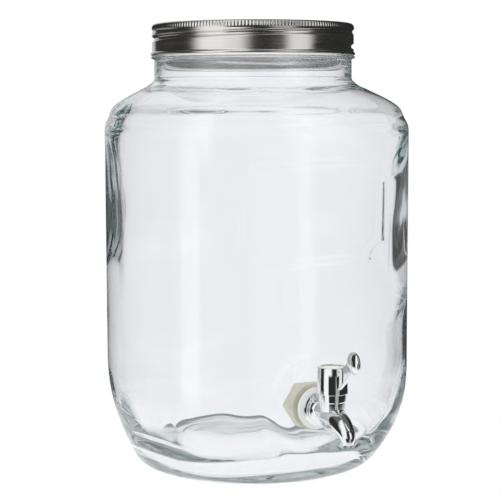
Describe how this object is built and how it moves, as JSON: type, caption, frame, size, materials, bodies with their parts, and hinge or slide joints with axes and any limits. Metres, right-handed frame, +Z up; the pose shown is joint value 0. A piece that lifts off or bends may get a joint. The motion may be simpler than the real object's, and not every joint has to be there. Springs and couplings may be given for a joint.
{
  "type": "glass drinks dispenser with tap",
  "caption": "Square-shouldered clear glass dispenser jar with a threaded metal screw lid and a chrome quarter-turn lever tap low on its front wall.",
  "frame": {"origin": "centre of the jar's foot, on the plane that it stands on", "axes": "+Z up along the jar's axis, the tap points to -Y, +X is to the right when facing the tap"},
  "size_m": [0.2, 0.2582, 0.3094],
  "materials": {
    "clear_glass": "polished, faint green tint",
    "lid_metal": "satin tinplate",
    "seal_rubber": "matt",
    "tap_chrome": "mirror polish",
    "soft_washer": "translucent soft",
    "cream_plastic": "semi-matt moulded",
    "ring_rubber": "matt"
  },
  "bodies": {
    "jar": {"glass_jar": "clear_glass", "tap_body": "tap_chrome", "tap_outer_washer": "soft_washer", "tap_inner_washer": "soft_washer", "tap_lock_nut": "cream_plastic"},
    "handle": {"handle_lever": "tap_chrome", "valve_core": "cream_plastic", "lower_core_ring": "ring_rubber", "upper_core_ring": "ring_rubber"},
    "lid_seal": {"lid_seal_ring": "seal_rubber"},
    "lid": {"lid_shell": "lid_metal"}
  },
  "joints": [
    {"name": "handle_turn", "type": "hinge", "parent": "jar", "child": "handle", "pos_m": [0, -0.1224, 0.055], "axis": [0, 0, 1], "range_deg": [0, 90]},
    {"name": "lid_rise", "type": "slide", "parent": "jar", "child": "lid_seal", "axis": [0, 0, 1], "range_m": [0, 0.0251]},
    {"name": "lid_turn", "type": "hinge", "parent": "lid_seal", "child": "lid", "pos_m": [0, 0, 0.3], "axis": [0, 0, 1], "range_deg": [0, 900]}
  ],
  "couplings": [
    {"joint": "lid_rise", "follows": "lid_turn", "m_per_rad": 0.0015915}
  ]
}
